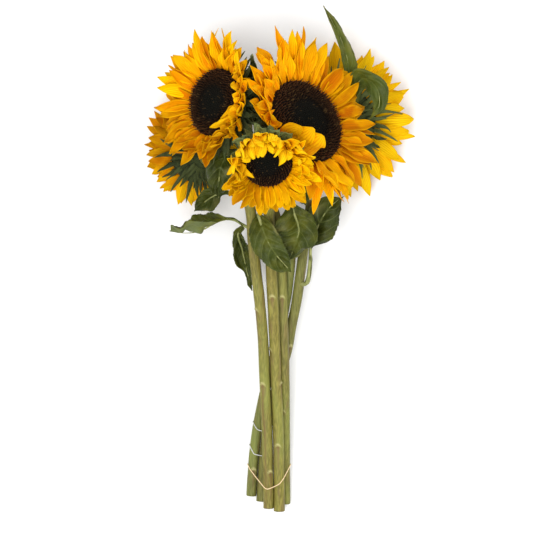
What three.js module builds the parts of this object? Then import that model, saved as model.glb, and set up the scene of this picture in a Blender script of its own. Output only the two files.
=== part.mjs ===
// A bunch of five cut sunflowers, laid on its back on a flat surface and held by rubber bands.
//
// Frame, in millimetres: +Y runs along the stems from the cut ends to the heads, +X is across,
// +Z is up from the surface. The origin is the middle of the bunch's outline, on the surface.
//
// Every flower is a stem, a green calyx with its bracts, a ring of ray petals and a seed disk.
// Soft, thin pieces are plain closed sheets here, with their true size, place and outline.
import * as THREE from "three";

// ---- Driving dimensions ----
const STEM_RADIUS = 4.9;
const STEM_SIDES = 8;
const STEM_STEP = 23; // distance between the rings of a stem
const GAP = 0.3; // clearance between pieces that touch
const SHEET = 1.4; // thickness of a petal or leaf sheet
const DISK_DEPTH = 8; // from the rim plane of the seed disk down to its seat in the calyx
const DISK_DOME = 0.14; // height of the dome, as a share of the disk's radius
const CALYX_DEPTH = 27; // from the rim plane down to the stem
const PETALS = 14; // lobes in a ring of petals
const PETAL_VALLEY = 0.5; // length between two petals, as a share of the petal beside it
const BRACTS = 10;
const BRACT_DROP = THREE.MathUtils.degToRad(12); // how far the bracts stand off the petals
const BAND_RADIUS = 0.6;

// ---- Colours ----
const finish = (color, roughness) =>
  new THREE.MeshStandardMaterial({ color, roughness, metalness: 0, side: THREE.DoubleSide });
const PETAL_YELLOW = finish(0xf7ab0c, 0.55);
const DISK_BROWN = finish(0x1c0f0b, 0.9);
const CALYX_GREEN = finish(0x3c4a26, 0.7);
const STEM_GREEN = finish(0x96964e, 0.65);
const LEAF_GREEN = finish(0x3f5420, 0.6);
const BAND_CREAM = finish(0xe2c49a, 0.6);
const BAND_WHITE = finish(0xc9c9c4, 0.6);

// ---- The five heads ----
// centre is the middle of the disk's rim plane and facing is the way the flower looks.
// habit lists how the petals stand round the disk, as [angle, length, cup, curl]: the angle is
// counted in the head's own plane from its right-hand side towards +Y, cup is how far the petal
// leans forward where it starts, and curl is how far it turns on the way to its tip.
const HEADS = {
  a: {
    centre: [-63, 156, 124],
    facing: [-0.69, 0.12, 0.71],
    disk: 34,
    bract: 22,
    habit: [
      [0, 24, 50, 24], [40, 28, 32, 8], [65, 38, 28, 6], [95, 43, 18, 0], [130, 42, 18, 0],
      [180, 42, 20, -4], [225, 40, 26, 0], [270, 34, 40, 16], [312, 28, 48, 30],
    ],
  },
  b: {
    centre: [29, 138, 130],
    facing: [0.62, 0.37, 0.69],
    disk: 43.3,
    bract: 22,
    habit: [
      [0, 39, 16, 0], [60, 46, 15, 0], [90, 51, 13, 0], [112, 47, 20, 0], [135, 42, 28, 2],
      [165, 38, 42, 10], [215, 36, 60, 50], [238, 38, 18, 4], [275, 50, 4, 0], [310, 46, 8, -4],
      [340, 39, 12, 0],
    ],
  },
  c: {
    centre: [-11, 95, 198],
    facing: [-0.03, -0.32, 0.947],
    disk: 25,
    bract: 14,
    habit: [
      [0, 31, 40, 30], [60, 33, 64, 54], [120, 33, 68, 58], [180, 33, 53, 70], [235, 30, 22, 20],
      [285, 29, 0, -10], [320, 30, 15, 10],
    ],
  },
  d: {
    centre: [66, 140, 12],
    facing: [0.25, 0.05, -0.967],
    disk: 34,
    bract: 20,
    habit: [[0, 40, 30, -26], [90, 44, 14, -6], [180, 39, 4, -6], [270, 44, 14, -6]],
  },
  e: {
    centre: [-84, 108, 25],
    facing: [-0.4, 0.2, -0.89],
    disk: 27,
    bract: 20,
    habit: [
      [0, 25, 10, 0], [45, 41, 2, -4], [90, 40, 10, 0], [180, 32, 34, -26], [225, 26, 34, -26],
      [270, 26, 14, 0], [315, 23, 28, 10],
    ],
  },
};

// ---- The five stems: points along each centreline, from the cut end to the neck ----
// The last point before the head is left out: it follows from the head's place and facing.
const STEMS = {
  a: [
    [7.5, -246, 7.5], [7.2, -200, 15.5], [7, -158, 24.5], [6.6, -117, 35.2], [5.2, -62, 43.4],
    [3.4, -12, 48.5], [-1, 38, 54], [-14, 74, 60], [-26, 104, 69], [-31, 132, 79],
  ],
  b: [
    [-27, -238, 5], [-23.5, -190, 12.8], [-18.6, -158, 17.6], [-9.4, -117, 23.8],
    [-0.4, -87, 28.4], [4.2, -62, 32.1], [11.8, -10, 40], [13.5, 45, 53], [7, 92, 71],
  ],
  c: [
    [1.5, -253, 16], [0.9, -200, 26.1], [0, -158, 34], [-2, -117, 41.8], [-4.2, -62, 52.2],
    [-7, -5, 63], [-9, 45, 74], [-10, 82, 96], [-10, 103, 124],
  ],
  d: [
    [-16.9, -243.5, 5], [-13.2, -190, 12.8], [-8, -158, 17.6], [1.4, -117, 23.8],
    [10.2, -87, 28.4], [14.5, -62, 32.1], [18.5, -43, 34.8], [27, 19, 44], [34, 62, 52],
    [40, 96, 57], [45, 121, 59],
  ],
  e: [
    [-9.2, -250, 16], [-10.5, -199, 26.3], [-11.6, -158, 34], [-13.5, -117, 41.8],
    [-15, -81, 48.6], [-18.2, -43, 55.8], [-22, -10, 61], [-25.5, 23, 66], [-28, 52, 70],
    [-36, 76, 76], [-50, 92, 75],
  ],
};
const NECK = 14; // straight run of stem under each calyx

// ---- Leaves: midrib points from the stalk's foot to the tip, and the blade's width ----
// stalk is the share of the length that is bare stalk, face is the way the upper side looks, fold
// lifts both halves off the midrib in degrees, and skew widens one half and narrows the other.
const LEAVES = {
  leaf_top_long: {
    midrib: [[46, 119, 84], [60, 152, 63], [71, 188, 55], [63, 220, 73], [45, 253, 98]],
    width: 17, stalk: 0.35, face: [0.5, 0.1, 0.85], fold: 18,
  },
  leaf_right_folded: {
    midrib: [
      [46, 108, 84], [70, 130, 76], [77, 174, 68], [89, 182, 76], [99, 170, 81], [101, 154, 80],
      [90, 139, 76],
    ],
    width: 24, stalk: 0.42, face: [0.2, 0, 1], fold: 12,
  },
  leaf_between_heads: {
    midrib: [[-20, 121, 94], [-22, 148, 98], [-25, 178, 103], [-27, 203, 108]],
    width: 21, stalk: 0.12, face: [0, -0.2, 1], fold: 10,
  },
  leaf_under_left_head: {
    midrib: [[-36, 98, 97], [-48, 106, 101], [-57, 92, 104], [-59, 62, 92]],
    width: 27, stalk: 0.2, face: [-0.1, -0.2, 1], fold: 10,
  },
  leaf_left_lower: {
    midrib: [[-39, 62, 68], [-52, 68, 68], [-68, 62, 62], [-84, 49, 54]],
    width: 21, stalk: 0.35, face: [0, -0.2, 1], fold: 12,
  },
  leaf_left_drooping: {
    midrib: [[-35, 34, 69], [-47, 41, 74], [-61, 38, 74], [-78, 29, 68], [-94, 27, 60], [-109, 29, 50]],
    width: 32, stalk: 0.26, face: [0, 0.95, 0.3], fold: 36,
  },
  leaf_left_hanging: {
    midrib: [[-34, 34, 61], [-40, 27, 57], [-36, 11, 48], [-32, -8, 41], [-26, -31, 36]],
    width: 18, stalk: 0.06, face: [-0.3, 0, 1], fold: 8,
  },
  leaf_centre: {
    midrib: [[-19, 46, 88], [-16, 33, 94], [-6, 11, 92], [14, -13, 78]],
    width: 31, stalk: 0.04, face: [-0.05, 0, 1], fold: 8, skew: 0.12,
  },
  leaf_right_broad: {
    midrib: [[12, 60, 84], [17, 44, 82], [21, 30, 79], [17, 15, 74], [11, -1, 67]],
    width: 46, stalk: 0.1, face: [0.1, 0, 1], fold: 8, skew: 0.22,
  },
  leaf_right_stalked: {
    midrib: [[29, -23, 46], [32, -8, 52], [33, 14, 59], [41, 36, 63], [52, 53, 64], [66, 64, 62]],
    width: 38, stalk: 0.38, face: [0, -0.2, 1], fold: 10,
  },
  leaf_under_front_head: {
    midrib: [[0, 66, 104], [14, 70, 116], [24, 68, 120], [27, 54, 112]],
    width: 17, stalk: 0.3, face: [0.1, -0.4, 1], fold: 16,
  },
};

// ---- Rubber bands: the stems inside each, its place along Y at the sides, and how far its upper ----
// run dips towards the cut ends in the middle.
const BANDS = {
  band_lower: { stems: ["a", "b", "c", "d", "e"], sides: -206, dip: 25, material: BAND_CREAM },
  band_middle: { stems: ["b", "d"], sides: -186, dip: 14, material: BAND_WHITE },
  band_upper: { stems: ["b", "d"], sides: -163, dip: 12, material: BAND_WHITE },
};

const vector = (p) => new THREE.Vector3(...p);
const radians = THREE.MathUtils.degToRad;
const mix = THREE.MathUtils.lerp;

// A mesh that carries its node's name.
function piece(name, geometry, material) {
  const mesh = new THREE.Mesh(geometry, material);
  mesh.name = name;
  return mesh;
}

// ---- Heads ----

// The head's length, cup and curl at an angle, eased between the entries of its habit.
function habitAt(head, angle) {
  const turn = ((THREE.MathUtils.radToDeg(angle) % 360) + 360) % 360;
  const rows = [...head.habit, [head.habit[0][0] + 360, ...head.habit[0].slice(1)]];
  const next = rows.findIndex((row) => row[0] > turn);
  const [from, to] = [rows[next - 1], rows[next]];
  const share = THREE.MathUtils.smoothstep(turn, from[0], to[0]);
  const [length, cup, curl] = [1, 2, 3].map((k) => mix(from[k], to[k], share));
  return { length, cup: radians(cup), curl: radians(curl) };
}

// A point at distance s along an arc that leaves (r, z) at the angle cup and turns evenly.
function along(r, z, s, { cup, curl, length }) {
  const bend = curl / length || 1e-6;
  return {
    r: r + (Math.sin(cup + bend * s) - Math.sin(cup)) / bend,
    z: z - (Math.cos(cup + bend * s) - Math.cos(cup)) / bend,
    lean: cup + bend * s,
  };
}

// How far a lobed edge reaches at an angle: 1 at the tip of a lobe and valley between two.
const lobe = (angle, count, valley) => mix(valley, 1, Math.abs(Math.sin((angle * count) / 2)));

// A solid turned about Z whose outline, a closed list of { r, z }, changes with the angle.
function turned(outlineAt, segments) {
  const outline = outlineAt(0);
  const geometry = new THREE.LatheGeometry(outline.map(() => new THREE.Vector2(1, 0)), segments);
  const position = geometry.attributes.position;
  for (let column = 0; column <= segments; column++) {
    const angle = ((column % segments) * 2 * Math.PI) / segments;
    outlineAt(angle).forEach(({ r, z }, row) =>
      position.setXYZ(column * outline.length + row, r * Math.cos(angle), r * Math.sin(angle), z),
    );
  }
  return geometry;
}

// Petals that would reach below the surface are pressed flat on it instead.
function pressOnSurface(geometry, placing, sheetRows, rows) {
  const back = placing.clone().invert();
  const position = geometry.attributes.position;
  for (let i = 0; i < position.count; i++) {
    const p = new THREE.Vector3().fromBufferAttribute(position, i).applyMatrix4(placing);
    p.z = Math.max(p.z, sheetRows.includes(i % rows) ? 0 : SHEET);
    p.applyMatrix4(back);
    position.setXYZ(i, p.x, p.y, p.z);
  }
  return geometry;
}

// The ring of petals: one sheet, open in the middle for the disk, with a lobe for each petal.
function petalRing(head, placing) {
  const outlineAt = (angle) => {
    const stand = habitAt(head, angle);
    const reach = stand.length * lobe(angle, PETALS, PETAL_VALLEY);
    const side = (s, offset) => {
      const p = along(head.disk + 1.2, -6.4, s, stand);
      return { r: p.r - offset * Math.sin(p.lean), z: p.z + offset * Math.cos(p.lean) };
    };
    const half = SHEET / 2;
    return [
      side(0, -half), side(reach / 2, -half), side(reach, -half * 0.8),
      side(reach, half * 0.8), side(reach / 2, half), side(0, half), side(0, -half),
    ];
  };
  const geometry = turned(outlineAt, PETALS * 4);
  return head.facing[2] < 0 ? pressOnSurface(geometry, placing, [3, 4, 5], 7) : geometry;
}

// The calyx: the green cup that the stem runs into, with pointed bracts behind the petals.
function calyx(head) {
  const rim = head.disk + 2.5;
  return turned((angle) => {
    const { length, cup, curl } = habitAt(head, angle);
    const lie = { length, cup: cup - BRACT_DROP, curl: curl * 0.5 };
    const tip = along(rim, -10.6, head.bract * lobe(angle, BRACTS, 0.15), lie);
    return [
      { r: 0, z: -CALYX_DEPTH },
      { r: STEM_RADIUS + 1.5, z: -CALYX_DEPTH },
      { r: head.disk * 0.7, z: -CALYX_DEPTH * 0.66 },
      { r: rim, z: -11.6 },
      { r: tip.r, z: tip.z - 0.3 },
      { r: tip.r, z: tip.z + 0.3 },
      { r: rim - 2, z: -DISK_DEPTH - GAP },
      { r: 0, z: -DISK_DEPTH - GAP },
    ];
  }, BRACTS * 4);
}

// The seed disk: a shallow dome on a straight rim.
function seedDisk(head) {
  const dome = head.disk * DISK_DOME;
  const profile = [
    [0, -DISK_DEPTH], [head.disk, -DISK_DEPTH], [head.disk, -1], [head.disk * 0.85, dome * 0.5],
    [head.disk * 0.5, dome * 0.9], [0, dome],
  ];
  return turned(() => profile.map(([r, z]) => ({ r, z })), 20);
}

// A group placed at the head's centre, with its Z along the facing and its Y towards the bunch's +Y.
function headGroup(name, head) {
  const facing = vector(head.facing).normalize();
  const up = new THREE.Vector3(0, 1, 0).addScaledVector(facing, -facing.y).normalize();
  const right = new THREE.Vector3().crossVectors(up, facing);
  const placing = new THREE.Matrix4().makeBasis(right, up, facing).setPosition(vector(head.centre));
  const group = new THREE.Group();
  group.applyMatrix4(placing);
  group.add(piece(`seed_disk_${name}`, seedDisk(head), DISK_BROWN));
  group.add(piece(`petals_${name}`, petalRing(head, placing), PETAL_YELLOW));
  group.add(piece(`calyx_${name}`, calyx(head), CALYX_GREEN));
  return group;
}

// ---- Stems ----

// A stem's centreline, which ends square against the foot of its calyx.
function stemCurve(name) {
  const head = HEADS[name];
  const facing = vector(head.facing).normalize();
  const foot = vector(head.centre).addScaledVector(facing, -CALYX_DEPTH - GAP);
  const neck = foot.clone().addScaledVector(facing, -NECK);
  return new THREE.CatmullRomCurve3([...STEMS[name].map(vector), neck, foot], false, "centripetal");
}

function stem(curve) {
  const section = new THREE.Shape(
    Array.from({ length: STEM_SIDES }, (_, k) => {
      const angle = (k * 2 * Math.PI) / STEM_SIDES;
      return new THREE.Vector2(Math.cos(angle), Math.sin(angle)).multiplyScalar(STEM_RADIUS);
    }),
  );
  const steps = Math.round(curve.getLength() / STEM_STEP);
  return new THREE.ExtrudeGeometry(section, { steps, bevelEnabled: false, extrudePath: curve });
}

// ---- Leaves ----

// Half the width of a leaf at t along it: a thin stalk, then an oval blade that ends in a point.
function halfWidth(t, leaf) {
  const u = Math.max(0, (t - leaf.stalk) / (1 - leaf.stalk));
  return Math.max(1.5 * (1 - u) + 0.5, (leaf.width / 2) * Math.sin(Math.PI * u ** 0.75) ** 0.8);
}

function leafBlade(leaf) {
  const curve = new THREE.CatmullRomCurve3(leaf.midrib.map(vector), false, "centripetal");
  const face = vector(leaf.face).normalize();
  const fold = Math.tan(radians(leaf.fold));
  const geometry = new THREE.BoxGeometry(1, 1, 1, 4, 8, 1);
  const position = geometry.attributes.position;
  for (let i = 0; i < position.count; i++) {
    const t = position.getY(i) + 0.5;
    const tangent = curve.getTangentAt(t);
    const up = face.clone().addScaledVector(tangent, -face.dot(tangent)).normalize();
    const side = new THREE.Vector3().crossVectors(tangent, up);
    const share = position.getX(i) * 2;
    const across = share * halfWidth(t, leaf) * (1 + (leaf.skew ?? 0) * Math.sign(share));
    const p = curve.getPointAt(t).addScaledVector(side, across);
    p.addScaledVector(up, position.getZ(i) * SHEET + Math.abs(across) * fold);
    position.setXYZ(i, p.x, p.y, p.z);
  }
  return geometry;
}

// ---- Rubber bands ----

// Where a stem's centreline passes a place along Y, below its neck.
function crossing(curve, y) {
  let [low, high] = [0, 0.6];
  for (let i = 0; i < 24; i++) {
    const middle = (low + high) / 2;
    [low, high] = curve.getPointAt(middle).y < y ? [middle, high] : [low, middle];
  }
  return curve.getPointAt(low);
}

// A loop drawn tight round some stems: at each angle it lies on the stem that stands out furthest.
function band({ stems, sides, dip }, curves) {
  const reach = STEM_RADIUS + GAP + BAND_RADIUS;
  const places = stems.map((name) => crossing(curves[name], sides).x);
  const leftEnd = Math.min(...places) - reach;
  const rightEnd = Math.max(...places) + reach;
  const settling = 8; // the dip depends on the place across, which depends a little on the dip
  const touch = (name, out) => {
    let point = crossing(curves[name], sides).addScaledVector(out, reach);
    for (let k = 0; k < settling && out.z > 0; k++) {
      const across = THREE.MathUtils.clamp((point.x - leftEnd) / (rightEnd - leftEnd), 0, 1);
      const y = sides - 4 * dip * across * (1 - across);
      point = crossing(curves[name], y).addScaledVector(out, reach);
    }
    return point;
  };
  const turns = 48;
  const loop = Array.from({ length: turns }, (_, k) => {
    const angle = (k * 2 * Math.PI) / turns;
    const out = new THREE.Vector3(Math.cos(angle), 0, Math.sin(angle));
    return stems.map((name) => touch(name, out)).sort((p, q) => q.dot(out) - p.dot(out))[0];
  });
  const path = new THREE.CatmullRomCurve3(loop, true, "centripetal");
  return new THREE.TubeGeometry(path, 60, BAND_RADIUS, 5, true); // a closed tube has no ends
}

// ---- The bunch ----
const bunch = new THREE.Group();
const curves = Object.fromEntries(Object.keys(STEMS).map((name) => [name, stemCurve(name)]));
for (const name of Object.keys(HEADS)) {
  bunch.add(headGroup(name, HEADS[name]));
  bunch.add(piece(`stem_${name}`, stem(curves[name]), STEM_GREEN));
}
for (const [name, leaf] of Object.entries(LEAVES)) bunch.add(piece(name, leafBlade(leaf), LEAF_GREEN));
for (const [name, loop] of Object.entries(BANDS)) bunch.add(piece(name, band(loop, curves), loop.material));

export default bunch;
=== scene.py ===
import math
import random

import bmesh
import bpy
from mathutils import Matrix, Vector, noise


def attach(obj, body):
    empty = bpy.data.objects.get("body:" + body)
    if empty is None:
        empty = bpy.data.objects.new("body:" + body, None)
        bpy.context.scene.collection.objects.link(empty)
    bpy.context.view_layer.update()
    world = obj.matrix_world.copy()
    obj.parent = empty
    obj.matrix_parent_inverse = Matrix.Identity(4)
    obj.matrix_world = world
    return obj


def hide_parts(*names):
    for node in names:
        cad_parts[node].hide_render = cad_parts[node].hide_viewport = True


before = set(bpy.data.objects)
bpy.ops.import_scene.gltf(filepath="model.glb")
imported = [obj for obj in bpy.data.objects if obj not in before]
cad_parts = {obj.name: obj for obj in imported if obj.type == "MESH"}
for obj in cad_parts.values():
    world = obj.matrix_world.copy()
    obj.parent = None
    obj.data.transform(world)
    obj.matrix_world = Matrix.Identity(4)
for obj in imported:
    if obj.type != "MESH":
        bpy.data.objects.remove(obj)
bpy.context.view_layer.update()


# ---- Studio ----
# A white floor and soft light from above, with the camera looking straight down on the bunch.
# The lens is long and far away, so high and low flowers keep nearly the same scale.
VIEW_WIDTH = 0.533
VIEW_RISE = 6.0
VIEW_CENTRE = (-0.0115, -0.0065)
HEADS_RISE = 0.07
SENSOR = 36.0
LAMPS_AIM = Vector((0, 0.1, 0.1))
ROOM_LIGHT = 0.66
FLOOR_REACH = 4
WHITE = (1, 1, 1, 1)

camera_data = bpy.data.cameras.new("camera")
camera_data.sensor_width = SENSOR
camera_data.lens = SENSOR * (VIEW_RISE - HEADS_RISE) / VIEW_WIDTH
camera_data.clip_end = 50
camera = bpy.data.objects.new("camera", camera_data)
camera.location = (*VIEW_CENTRE, VIEW_RISE)
bpy.context.collection.objects.link(camera)
bpy.context.scene.camera = camera
bpy.context.scene.view_settings.view_transform = "Standard"


def softbox(name, place, power, size):
    """A square studio lamp that looks at the middle of the heads."""
    data = bpy.data.lights.new(name, "AREA")
    data.energy = power
    data.size = size
    lamp = bpy.data.objects.new(name, data)
    lamp.location = place
    aim = LAMPS_AIM - Vector(place)
    lamp.rotation_euler = aim.to_track_quat("-Z", "Y").to_euler()
    bpy.context.collection.objects.link(lamp)


softbox("key_light", (-0.45, -0.4, 2.2), 44, 1.3)
softbox("fill_light", (1.2, 0.8, 1.9), 20, 1.6)
world = bpy.data.worlds.new("studio")
world.use_nodes = True
background = world.node_tree.nodes["Background"]
background.inputs["Color"].default_value = WHITE
background.inputs["Strength"].default_value = ROOM_LIGHT
bpy.context.scene.world = world


def node(tree, kind, inputs=(), **settings):
    """A shader node; each of its inputs gets a value or another node's output."""
    made = tree.nodes.new("ShaderNode" + kind)
    for name, value in settings.items():
        setattr(made, name, value)
    for name, value in dict(inputs).items():
        if isinstance(value, bpy.types.NodeSocket):
            tree.links.new(value, made.inputs[name])
        else:
            made.inputs[name].default_value = value
    return made


def sums(tree, operation, first, second=0.5, clamp=False):
    """The output of a Math node."""
    made = node(tree, "Math", {0: first, 1: second}, operation=operation, use_clamp=clamp)
    return made.outputs[0]


def blend(tree, share, first, second, mode="MIX"):
    """The output of a colour mix."""
    made = node(tree, "Mix", {0: share, 6: first, 7: second}, data_type="RGBA", blend_type=mode)
    return made.outputs[2]


def shades(tree, factor, *stops):
    """The output of a colour ramp through (place, colour) stops."""
    made = node(tree, "ValToRGB", {0: factor})
    elements = made.color_ramp.elements
    while len(elements) < len(stops):
        elements.new(0.5)
    for element, (place, colour) in zip(elements, stops):
        element.position = place
        element.color = (*colour, 1)
    return made.outputs[0]


def finish(name, colour_of, roughness=0.6, specular=0.4):
    """A new material; colour_of wires its tree and returns colour, roughness and normal outputs."""
    material = bpy.data.materials.new(name)
    material.use_nodes = True
    tree = material.node_tree
    shader = tree.nodes["Principled BSDF"]
    shader.inputs["Roughness"].default_value = roughness
    shader.inputs["Specular IOR Level"].default_value = specular
    for socket, value in colour_of(tree).items():
        tree.links.new(value, shader.inputs[socket])
    return material


def bump(tree, height, depth, strength=1.0):
    """The normal that a height pattern gives."""
    made = node(tree, "Bump", {"Height": height, "Distance": depth, "Strength": strength})
    return made.outputs[0]


def group(name, inputs, outputs):
    """An empty node group with named numbers in and out: the tree, its way in and its way out."""
    tree = bpy.data.node_groups.new(name, "ShaderNodeTree")
    for label, value in inputs.items():
        socket = tree.interface.new_socket(label, in_out="INPUT", socket_type="NodeSocketFloat")
        socket.default_value = value
    for label in outputs:
        tree.interface.new_socket(label, in_out="OUTPUT", socket_type="NodeSocketFloat")
    return tree, tree.nodes.new("NodeGroupInput"), tree.nodes.new("NodeGroupOutput")


def mottle_effect():
    """Uneven tone over any surface, stretched along the bunch by Stretch."""
    inputs = {"Scale": 100, "Stretch": 1, "Low": 0.35, "High": 0.65}
    tree, way_in, way_out = group("mottle", inputs, ["Tone"])
    place = node(tree, "TexCoord").outputs["Object"]
    parts = node(tree, "SeparateXYZ", {0: place})
    along = sums(tree, "DIVIDE", parts.outputs[1], way_in.outputs["Stretch"])
    place = node(tree, "CombineXYZ", {0: parts.outputs[0], 1: along, 2: parts.outputs[2]}).outputs[0]
    cloud = node(tree, "TexNoise", {"Vector": place, "Scale": way_in.outputs["Scale"], "Detail": 4.0})
    span = {"Value": cloud.outputs[0], 1: way_in.outputs["Low"], 2: way_in.outputs["High"]}
    tone = node(tree, "MapRange", span, interpolation_type="SMOOTHSTEP")
    tree.links.new(tone.outputs[0], way_out.inputs["Tone"])
    return tree


mottle = mottle_effect()


def mottled(tree, scale, stretch=1.0, low=0.35, high=0.65):
    """The tone that the mottle group puts out."""
    made = node(tree, "Group")
    made.node_tree = mottle
    for label, value in {"Scale": scale, "Stretch": stretch, "Low": low, "High": high}.items():
        made.inputs[label].default_value = value
    return made.outputs["Tone"]


def paint_floor(tree):
    return {"Base Color": blend(tree, mottled(tree, 3), (0.9, 0.9, 0.9, 1), (0.93, 0.93, 0.93, 1))}


floor_mesh = bmesh.new()
bmesh.ops.create_grid(floor_mesh, x_segments=1, y_segments=1, size=FLOOR_REACH)
floor_data = bpy.data.meshes.new("floor")
floor_mesh.to_mesh(floor_data)
floor_mesh.free()
floor_data.materials.append(finish("white_floor", paint_floor, roughness=0.9))
floor = bpy.data.objects.new("floor", floor_data)
bpy.context.collection.objects.link(floor)


def show(name, bm, slot, materials, *nodes):
    """Makes a finished piece from a bmesh, in place of CAD nodes."""
    mesh = bpy.data.meshes.new(name)
    bm.to_mesh(mesh)
    bm.free()
    mesh.shade_smooth()
    for material in materials:
        mesh.materials.append(material)
    piece = bpy.data.objects.new(name, mesh)
    bpy.context.collection.objects.link(piece)
    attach(piece, "root")
    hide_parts(*nodes)
    return piece


# ---- Stems ----
# Five green stalks, about 10 mm thick, ribbed lengthwise and cut square at the foot. A pale scar
# with a raised lip is left wherever a leaf was pulled off. Each flares into the head above it.
STEM_THICK = {"a": 0.005, "b": 0.005, "c": 0.0055, "d": 0.005, "e": 0.0053}
STEM_NECK = 0.0063
# The CAD stem's corners across it, the finished stem's rows for each of its own and its sides.
STEM_CORNERS = 8
STEM_STEPS = 16
STEM_SIDES = 28
STEM_FLARE_ROWS = 16
RIBS = 13
RIB_DEPTH = 0.00013
KNOB_DEPTH = 0.0003
CUT_RIM = 0.0009
CUT_HOLLOW = -0.0004
# Nothing reaches below LOWEST, and corners closer than WELD or SEAM are joined.
LOWEST = 0.0001
WELD = 1e-5
SEAM = 1e-7
# How far each stem's colour is from dark green, at 0, to yellow green, at 1; the low values of the two
# back stems, b and d, are partly their own darker green and partly painted shade.
STEM_GREENS_AND_SHADE = {"a": 0.6, "b": 0.1, "c": 1.0, "d": 0.3, "e": 0.85}
# A scar's lip stands out, the dent below it and its streak lie in; the lip arches over its width.
LIP_HEIGHT = 0.0009
DENT_DEPTH = 0.0004
STREAK_DEPTH = 0.0002
LIP_ARCH = 0.0022
LIP_WIDTH = 0.62
# Each scar is its place along Y, its angle round the stem and how far its brown streak runs.
SCARS = {
    "a": [(-0.038, 95, 0.02), (-0.152, 120, 0.09), (0.03, 150, 0.02)],
    "b": [(-0.12, 130, 0.03), (-0.212, 80, 0.02), (0.01, 40, 0.02)],
    "c": [(-0.037, 95, 0.012), (-0.09, 165, 0.07), (-0.125, 20, 0.02), (-0.187, 100, 0.03)],
    "d": [(-0.087, 60, 0.03), (-0.16, 140, 0.02), (0.06, 95, 0.02)],
    "e": [(-0.125, 120, 0.15), (-0.05, 150, 0.03), (-0.214, 60, 0.03)],
}


def layers_from(start):
    """A mesh's vertices in steps away from some of them."""
    seen, layer, layers = set(start), set(start), []
    while layer:
        layers.append(layer)
        layer = {edge.other_vert(vert) for vert in layer for edge in vert.link_edges} - seen
        seen |= layer
    return layers


def rings(cad_node, size):
    """The corners of a long CAD node, as rings of that size across it from one end to the other."""
    bm = bmesh.new()
    bm.from_mesh(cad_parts[cad_node].data)
    bmesh.ops.remove_doubles(bm, verts=bm.verts, dist=WELD)
    bm.verts.ensure_lookup_table()
    bm.verts.index_update()
    tip = min(layers_from([bm.verts[0]])[-1], key=lambda vert: vert.index)
    end = sorted(bm.verts, key=lambda vert: (vert.co - tip.co).length)[:size]
    found = [[vert.co.copy() for vert in layer] for layer in layers_from(end)]
    bm.free()
    return found


def middle(points):
    """The mean of some points."""
    return sum(points, Vector()) / len(points)


def smooth_path(points, steps):
    """Points along a smooth curve through the given ones, so many to each stretch."""
    ends = [2 * points[0] - points[1], *points, 2 * points[-1] - points[-2]]
    fine = []
    for a, b, c, d in zip(ends, ends[1:], ends[2:], ends[3:]):
        for k in range(steps):
            t = k / steps
            cubic = (3 * (b - c) + d - a) * t**3 + (2 * a - 5 * b + 4 * c - d) * t**2
            fine.append(b + ((c - a) * t + cubic) / 2)
    return fine + [points[-1].copy()]


def tube(bm, path, radius_at, sides, look_at=None):
    """A closed tube along a path: a flat grid rolled up, its seam joined and its ends filled.

    radius_at takes the row and the angle round the tube, which is 90 degrees on top, and look_at
    gives the colour attribute there.
    """
    rows = len(path) - 1
    layer = bm.verts.layers.float_color.get("look")
    bmesh.ops.create_grid(bm, x_segments=sides, y_segments=rows, size=0.5)
    for vert in bm.verts:
        row = round((vert.co.y + 0.5) * rows)
        angle = (vert.co.x + 0.5) * math.tau
        heading = (path[min(row + 1, rows)] - path[max(row - 1, 0)]).normalized()
        side = (Vector((1, 0, 0)) - heading * heading.x).normalized()
        above = side.cross(heading)
        vert.co = path[row] + (side * math.cos(angle) + above * math.sin(angle)) * radius_at(row, angle)
        vert.co.z = max(vert.co.z, LOWEST)
        if look_at:
            vert[layer] = look_at(row, angle)
    bmesh.ops.remove_doubles(bm, verts=bm.verts, dist=SEAM)
    rims = [edge for edge in bm.edges if edge.is_boundary]
    ends = bmesh.ops.holes_fill(bm, edges=rims, sides=sides)["faces"]
    bmesh.ops.recalc_face_normals(bm, faces=bm.faces)
    return ends


def looks_of(tree):
    """The three shares that a piece's own colour attribute holds."""
    made = node(tree, "Attribute", attribute_name="look")
    return list(node(tree, "SeparateColor", {0: made.outputs["Color"]}).outputs)


def paint_stem(tree):
    lip, tint, brown = looks_of(tree)
    fibres = mottled(tree, 800, 16, 0.25, 0.75)
    green = blend(tree, fibres, (0.115, 0.096, 0.015, 1), (0.275, 0.23, 0.048, 1))
    dark = blend(tree, fibres, (0.085, 0.095, 0.022, 1), (0.17, 0.175, 0.045, 1))
    # A low yellow share darkens a stem: partly its own darker green, partly painted shade on the stems
    # at the back.
    green = blend(tree, tint, dark, green)
    patch = sums(tree, "MULTIPLY", mottled(tree, 42, 5, 0.4, 0.7), 0.45)
    green = blend(tree, patch, green, (0.25, 0.29, 0.06, 1))
    rusty = sums(tree, "MULTIPLY", mottled(tree, 210, 12, 0.52, 0.7), 0.6)
    green = blend(tree, rusty, green, (0.17, 0.115, 0.045, 1))
    green = blend(tree, sums(tree, "MULTIPLY", brown, 0.85), green, (0.16, 0.085, 0.035, 1))
    green = blend(tree, sums(tree, "MULTIPLY", lip, 0.85), green, (0.5, 0.46, 0.2, 1))
    normal = bump(tree, mottled(tree, 1100, 18, 0.2, 0.8), 0.0004, 0.7)
    return {"Base Color": green, "Normal": normal}


def paint_pith(tree):
    ring = mottled(tree, 1500, 1, 0.3, 0.7)
    colour = blend(tree, ring, (0.5, 0.47, 0.26, 1), (0.68, 0.64, 0.42, 1))
    return {"Base Color": colour, "Normal": bump(tree, ring, 0.0004)}


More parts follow.
